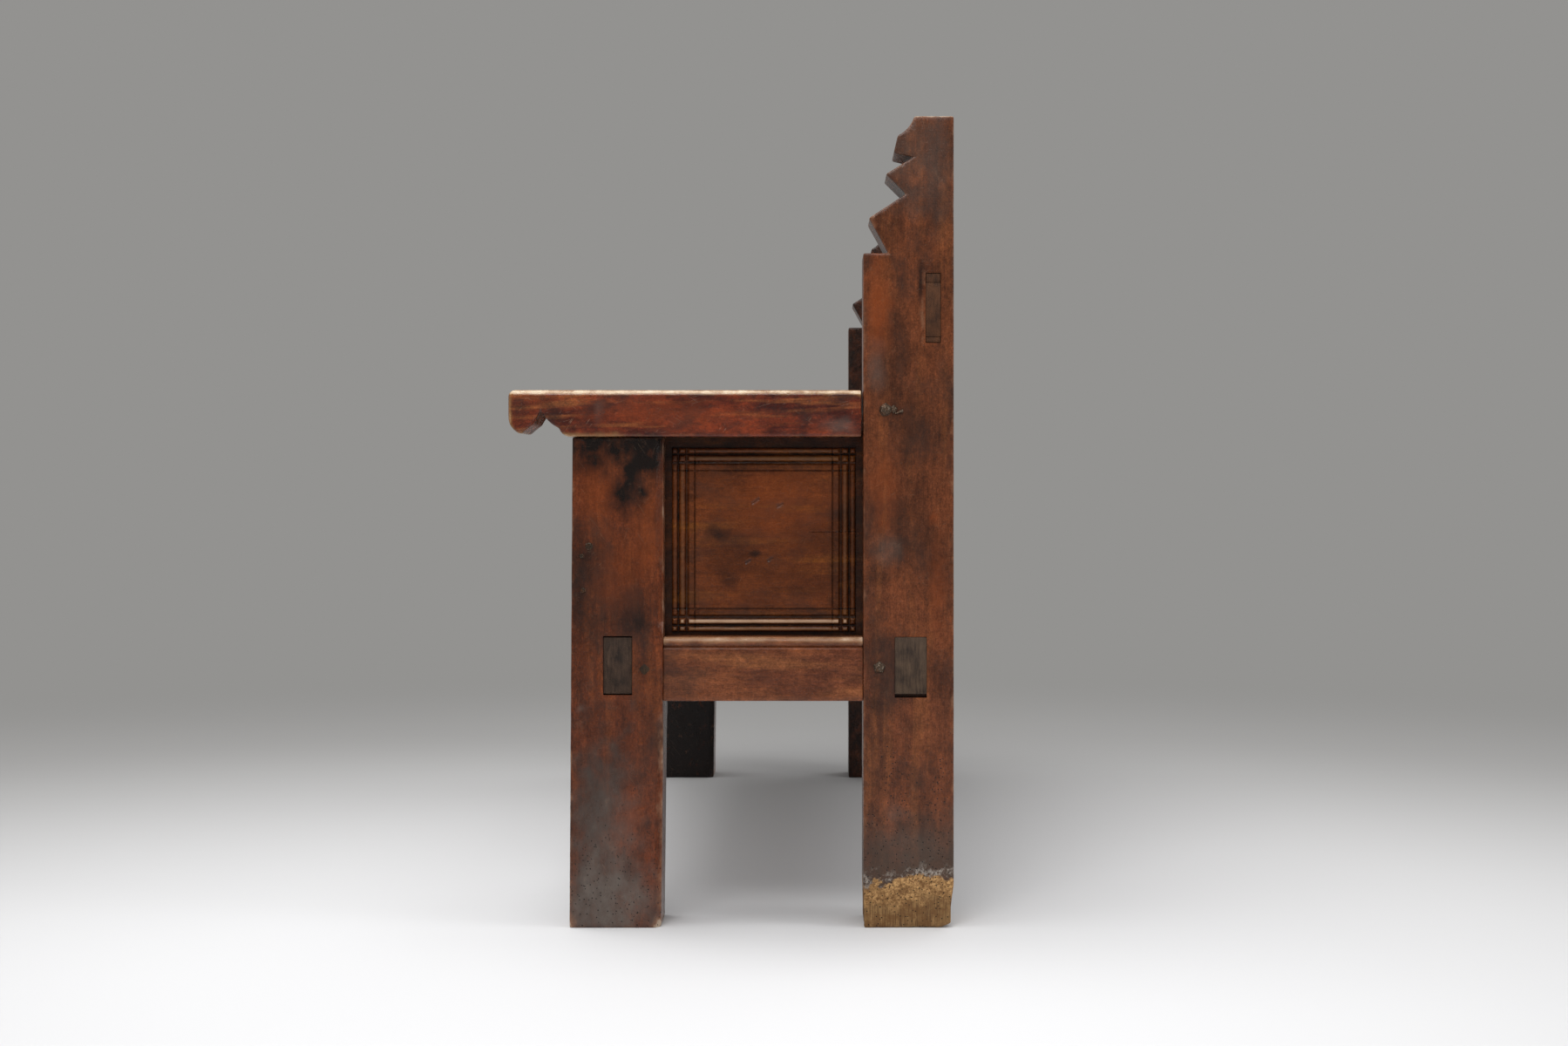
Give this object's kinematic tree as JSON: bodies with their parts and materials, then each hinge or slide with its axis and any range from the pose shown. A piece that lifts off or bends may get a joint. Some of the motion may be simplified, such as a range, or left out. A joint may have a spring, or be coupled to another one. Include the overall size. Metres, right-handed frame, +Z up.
{
  "type": "wooden settle bench",
  "caption": "Old dark walnut settle bench with saw-tooth back posts, flat arms with carved noses, square moulded end panels, a plank seat and a framed panel back.",
  "frame": {"origin": "centre of the bounding box in plan, on the floor under the feet", "axes": "+X along the length to the right-hand end, as seen by a person facing the front; +Y from the front to the back; +Z up"},
  "size_m": [1.562, 0.6004, 1.09],
  "materials": {
    "walnut_frame": "waxed, worn",
    "walnut_arm": "polished by use",
    "walnut_panel": "waxed, worn",
    "walnut_back": "waxed",
    "walnut_seat": "worn smooth",
    "walnut_rough": "sawn, unpolished",
    "wood_pegs": "dark end grain",
    "forged_iron": "forged, dark"
  },
  "bodies": {
    "root": {"right_front_leg": "walnut_frame", "left_front_leg": "walnut_frame", "right_back_post": "walnut_frame", "left_back_post": "walnut_frame", "right_side_rail": "walnut_frame", "left_side_rail": "walnut_frame", "front_seat_rail": "walnut_frame", "back_seat_rail": "walnut_frame", "right_arm": "walnut_arm", "left_arm": "walnut_arm", "right_side_panel": "walnut_panel", "left_side_panel": "walnut_panel", "back_panel_1": "walnut_panel", "back_panel_2": "walnut_panel", "back_panel_3": "walnut_panel", "back_panel_4": "walnut_panel", "back_top_rail": "walnut_back", "back_bottom_rail": "walnut_back", "back_muntin_1": "walnut_back", "back_muntin_2": "walnut_back", "back_muntin_3": "walnut_back", "seat_board_front": "walnut_seat", "seat_board_middle": "walnut_seat", "seat_board_back": "walnut_seat", "seat_bearer_left": "walnut_rough", "seat_bearer_middle": "walnut_rough", "seat_bearer_right": "walnut_rough", "right_seat_cleat": "walnut_rough", "left_seat_cleat": "walnut_rough", "side_rail_pegs": "wood_pegs", "muntin_pegs": "wood_pegs", "top_rail_wedges": "wood_pegs", "arm_nails": "forged_iron", "side_rail_nails": "forged_iron", "post_back_nails": "forged_iron", "old_leg_nails": "forged_iron", "seat_nails": "forged_iron", "cleat_nails": "forged_iron"}
  },
  "joints": []
}
